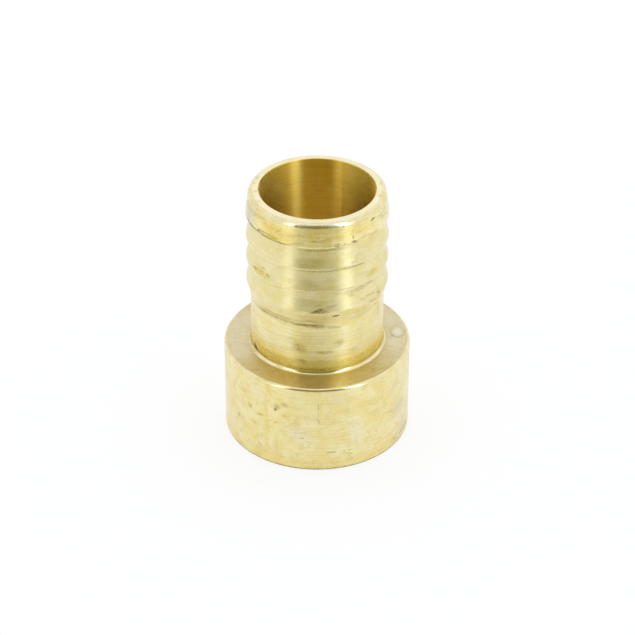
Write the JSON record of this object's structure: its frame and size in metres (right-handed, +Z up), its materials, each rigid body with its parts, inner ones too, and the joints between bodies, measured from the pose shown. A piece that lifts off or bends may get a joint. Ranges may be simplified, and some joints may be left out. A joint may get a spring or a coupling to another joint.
{
  "type": "hose barb fitting",
  "caption": "Straight brass hose barb on a short round body with a female parallel pipe thread and a through bore, for clamping a hose to a pipe end.",
  "frame": {"origin": "centre of the foot, the flat end that the fitting stands on", "axes": "+Z up the turning axis, from the threaded end to the hose end; X and Y are arbitrary, because the part is round"},
  "size_m": [0.038, 0.038, 0.0552],
  "materials": {
    "brass": "as turned, lightly tarnished"
  },
  "bodies": {
    "root": {"barb_fitting": "brass"}
  },
  "joints": []
}
